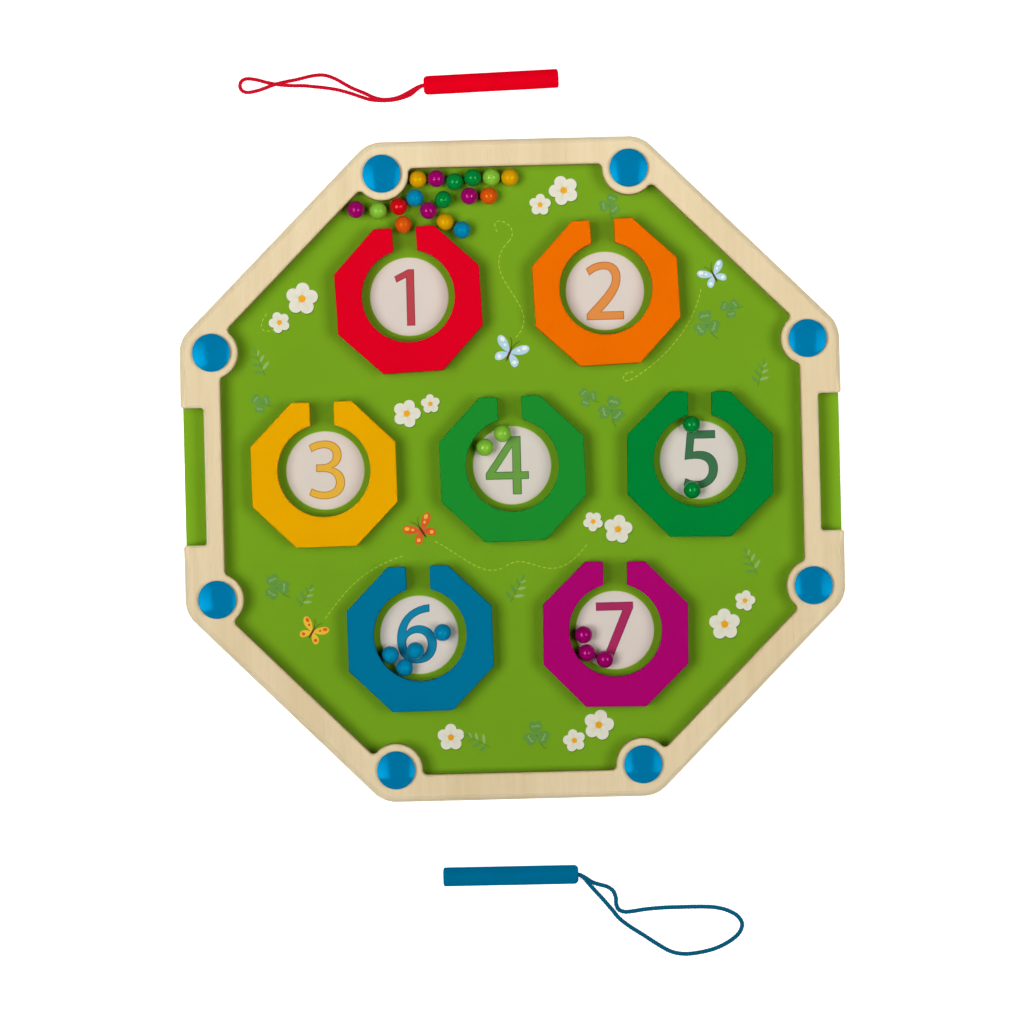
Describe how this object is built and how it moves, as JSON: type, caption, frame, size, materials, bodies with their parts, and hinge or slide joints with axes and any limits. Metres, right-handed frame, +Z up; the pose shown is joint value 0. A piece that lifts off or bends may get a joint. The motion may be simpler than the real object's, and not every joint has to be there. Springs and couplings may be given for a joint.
{
  "type": "magnetic ball maze",
  "caption": "Octagonal wooden tray toy: coloured steel balls roll between gated ring wells under a clear cover, drawn along by a corded magnet wand.",
  "frame": {"origin": "centre of the board's underside, on the surface it lies on", "axes": "+Z up out of the board, +X to the right and +Y to the back as it is played, with the ring gates facing +Y"},
  "size_m": [0.3, 0.4064, 0.0168],
  "materials": {
    "green_print": "printed plywood, satin",
    "birch": "sanded birch, clear varnish",
    "clear_acrylic": "clear, polished",
    "cap_blue": "gloss",
    "screw_steel": "zinc plated",
    "ring_red": "matt paint on wood",
    "ring_orange": "matt paint on wood",
    "ring_yellow": "matt paint on wood",
    "ring_green": "matt paint on wood",
    "ring_deep_green": "matt paint on wood",
    "ring_blue": "matt paint on wood",
    "ring_purple": "matt paint on wood",
    "ball_yellow": "gloss enamel on steel",
    "ball_purple": "gloss enamel on steel",
    "ball_green_dark": "gloss enamel on steel",
    "ball_green_light": "gloss enamel on steel",
    "ball_orange": "gloss enamel on steel",
    "ball_blue": "gloss enamel on steel",
    "ball_red": "gloss enamel on steel",
    "wand_red": "lacquer on wood",
    "wand_blue": "lacquer on wood",
    "magnet": "nickel plated magnet",
    "cord_red": "braided",
    "cord_blue": "braided"
  },
  "bodies": {
    "board": {"base_board": "green_print", "tray_frame": "birch", "clear_cover": "clear_acrylic", "ring_block_1": "ring_red", "ring_block_2": "ring_orange", "ring_block_3": "ring_yellow", "ring_block_4": "ring_green", "ring_block_5": "ring_deep_green", "ring_block_6": "ring_blue", "ring_block_7": "ring_purple", "corner_cap_1": "cap_blue", "corner_cap_2": "cap_blue", "corner_cap_3": "cap_blue", "corner_cap_4": "cap_blue", "corner_cap_5": "cap_blue", "corner_cap_6": "cap_blue", "corner_cap_7": "cap_blue", "corner_cap_8": "cap_blue", "corner_screw_1": "screw_steel", "corner_screw_2": "screw_steel", "corner_screw_3": "screw_steel", "corner_screw_4": "screw_steel", "corner_screw_5": "screw_steel", "corner_screw_6": "screw_steel", "corner_screw_7": "screw_steel", "corner_screw_8": "screw_steel"},
    "ball_yellow_1": {"ball_yellow_1": "ball_yellow"},
    "ball_yellow_2": {"ball_yellow_2": "ball_yellow"},
    "ball_yellow_3": {"ball_yellow_3": "ball_yellow"},
    "ball_purple_1": {"ball_purple_1": "ball_purple"},
    "ball_purple_2": {"ball_purple_2": "ball_purple"},
    "ball_purple_3": {"ball_purple_3": "ball_purple"},
    "ball_purple_4": {"ball_purple_4": "ball_purple"},
    "ball_purple_5": {"ball_purple_5": "ball_purple"},
    "ball_purple_6": {"ball_purple_6": "ball_purple"},
    "ball_purple_7": {"ball_purple_7": "ball_purple"},
    "ball_green_dark_1": {"ball_green_dark_1": "ball_green_dark"},
    "ball_green_dark_2": {"ball_green_dark_2": "ball_green_dark"},
    "ball_green_dark_3": {"ball_green_dark_3": "ball_green_dark"},
    "ball_green_dark_4": {"ball_green_dark_4": "ball_green_dark"},
    "ball_green_dark_5": {"ball_green_dark_5": "ball_green_dark"},
    "ball_green_light_1": {"ball_green_light_1": "ball_green_light"},
    "ball_green_light_2": {"ball_green_light_2": "ball_green_light"},
    "ball_green_light_3": {"ball_green_light_3": "ball_green_light"},
    "ball_green_light_4": {"ball_green_light_4": "ball_green_light"},
    "ball_orange_1": {"ball_orange_1": "ball_orange"},
    "ball_orange_2": {"ball_orange_2": "ball_orange"},
    "ball_blue_1": {"ball_blue_1": "ball_blue"},
    "ball_blue_2": {"ball_blue_2": "ball_blue"},
    "ball_blue_3": {"ball_blue_3": "ball_blue"},
    "ball_blue_4": {"ball_blue_4": "ball_blue"},
    "ball_blue_5": {"ball_blue_5": "ball_blue"},
    "ball_blue_6": {"ball_blue_6": "ball_blue"},
    "ball_red_1": {"ball_red_1": "ball_red"},
    "wand_red": {"wand_red": "wand_red", "wand_red_magnet": "magnet", "wand_red_cord": "cord_red"},
    "wand_blue": {"wand_blue": "wand_blue", "wand_blue_magnet": "magnet", "wand_blue_cord": "cord_blue"}
  },
  "joints": [
    {"name": "ball_yellow_2_roll", "type": "slide", "parent": "board", "child": "ball_yellow_2", "axis": [1, 0, 0], "range_m": [0, 0.037]},
    {"name": "ball_green_light_1_roll", "type": "slide", "parent": "board", "child": "ball_green_light_1", "axis": [1, 0, 0], "range_m": [0, 0.037]},
    {"name": "ball_green_dark_2_roll", "type": "slide", "parent": "board", "child": "ball_green_dark_2", "axis": [1, 0, 0], "range_m": [0, 0.037]},
    {"name": "ball_green_dark_1_roll", "type": "slide", "parent": "board", "child": "ball_green_dark_1", "axis": [1, 0, 0], "range_m": [0, 0.037]},
    {"name": "ball_purple_1_roll", "type": "slide", "parent": "board", "child": "ball_purple_1", "axis": [1, 0, 0], "range_m": [0, 0.037]},
    {"name": "ball_yellow_1_roll", "type": "slide", "parent": "board", "child": "ball_yellow_1", "axis": [1, 0, 0], "range_m": [0, 0.037]},
    {"name": "ball_orange_1_roll", "type": "slide", "parent": "board", "child": "ball_orange_1", "axis": [1, 0, 0], "range_m": [0, 0.037]},
    {"name": "ball_purple_2_roll", "type": "slide", "parent": "board", "child": "ball_purple_2", "axis": [1, 0, 0], "range_m": [0, 0.037]},
    {"name": "ball_green_dark_3_roll", "type": "slide", "parent": "board", "child": "ball_green_dark_3", "axis": [1, 0, 0], "range_m": [0, 0.037]},
    {"name": "ball_blue_2_roll", "type": "slide", "parent": "board", "child": "ball_blue_2", "axis": [0.7431, -0.6691, 0], "range_m": [0, 0.035]},
    {"name": "ball_yellow_3_roll", "type": "slide", "parent": "board", "child": "ball_yellow_3", "axis": [0.7431, -0.6691, 0], "range_m": [0, 0.035]},
    {"name": "ball_orange_2_roll", "type": "slide", "parent": "board", "child": "ball_orange_2", "axis": [0.0436, -0.999, 0], "range_m": [0, 0.016]},
    {"name": "ball_red_1_roll", "type": "slide", "parent": "board", "child": "ball_red_1", "axis": [0.1564, -0.9877, 0], "range_m": [0, 0.016]},
    {"name": "ball_blue_1_roll", "type": "slide", "parent": "board", "child": "ball_blue_1", "axis": [-0.7431, -0.6691, 0], "range_m": [0, 0.0048]},
    {"name": "ball_purple_5_roll", "type": "slide", "parent": "board", "child": "ball_purple_5", "axis": [0.7071, 0.7071, 0], "range_m": [0, 0.0255]},
    {"name": "ball_purple_6_roll", "type": "slide", "parent": "board", "child": "ball_purple_6", "axis": [0.7071, 0.7071, 0], "range_m": [0, 0.0255]},
    {"name": "ball_purple_7_roll", "type": "slide", "parent": "board", "child": "ball_purple_7", "axis": [0.7071, 0.7071, 0], "range_m": [0, 0.0255]},
    {"name": "ball_purple_3_roll", "type": "slide", "parent": "board", "child": "ball_purple_3", "axis": [-0.7071, -0.7071, 0], "range_m": [0, 0.0039]},
    {"name": "ball_green_light_2_roll", "type": "slide", "parent": "board", "child": "ball_green_light_2", "axis": [-0.5736, -0.8192, 0], "range_m": [0, 0.0053]},
    {"name": "ball_purple_4_roll", "type": "slide", "parent": "board", "child": "ball_purple_4", "axis": [-0.7071, -0.7071, 0], "range_m": [-0.0015, 0.045]},
    {"name": "ball_green_light_3_roll", "type": "slide", "parent": "board", "child": "ball_green_light_3", "axis": [0.7071, -0.7071, 0], "range_m": [-0.0018, 0.031]},
    {"name": "ball_green_light_4_roll", "type": "slide", "parent": "board", "child": "ball_green_light_4", "axis": [0.7071, -0.7071, 0], "range_m": [-0.0017, 0.028]},
    {"name": "ball_green_dark_4_roll", "type": "slide", "parent": "board", "child": "ball_green_dark_4", "axis": [0.342, -0.9397, 0], "range_m": [0, 0.033]},
    {"name": "ball_green_dark_5_roll", "type": "slide", "parent": "board", "child": "ball_green_dark_5", "axis": [-0.342, 0.9397, 0], "range_m": [-0.0032, 0.0257]},
    {"name": "ball_blue_3_roll", "type": "slide", "parent": "board", "child": "ball_blue_3", "axis": [-0.5, 0.866, 0], "range_m": [-0.0094, 0.0228]},
    {"name": "ball_blue_4_roll", "type": "slide", "parent": "board", "child": "ball_blue_4", "axis": [0.2588, 0.9659, 0], "range_m": [0, 0.0242]},
    {"name": "ball_blue_5_roll", "type": "slide", "parent": "board", "child": "ball_blue_5", "axis": [0.0872, 0.9962, 0], "range_m": [0, 0.0111]},
    {"name": "ball_blue_6_roll", "type": "slide", "parent": "board", "child": "ball_blue_6", "axis": [0.9848, -0.1736, 0], "range_m": [0, 0.0097]},
    {"name": "wand_red_lift", "type": "slide", "parent": "board", "child": "wand_red", "axis": [0, 0, 1], "range_m": [0, 0.12]},
    {"name": "wand_blue_lift", "type": "slide", "parent": "board", "child": "wand_blue", "axis": [0, 0, 1], "range_m": [0, 0.12]}
  ],
  "couplings": [
    {"joint": "ball_green_light_1_roll", "follows": "ball_yellow_2_roll", "ratio": 1},
    {"joint": "ball_green_dark_2_roll", "follows": "ball_yellow_2_roll", "ratio": 1},
    {"joint": "ball_green_dark_1_roll", "follows": "ball_yellow_2_roll", "ratio": 1},
    {"joint": "ball_purple_1_roll", "follows": "ball_yellow_2_roll", "ratio": 1},
    {"joint": "ball_yellow_1_roll", "follows": "ball_yellow_2_roll", "ratio": 1},
    {"joint": "ball_orange_1_roll", "follows": "ball_yellow_2_roll", "ratio": 1},
    {"joint": "ball_purple_2_roll", "follows": "ball_yellow_2_roll", "ratio": 1},
    {"joint": "ball_green_dark_3_roll", "follows": "ball_yellow_2_roll", "ratio": 1},
    {"joint": "ball_yellow_3_roll", "follows": "ball_blue_2_roll", "ratio": 1},
    {"joint": "ball_red_1_roll", "follows": "ball_orange_2_roll", "ratio": 1},
    {"joint": "ball_blue_1_roll", "follows": "ball_orange_2_roll", "ratio": 0.3},
    {"joint": "ball_purple_6_roll", "follows": "ball_purple_5_roll", "ratio": 1},
    {"joint": "ball_purple_7_roll", "follows": "ball_purple_5_roll", "ratio": 1}
  ]
}
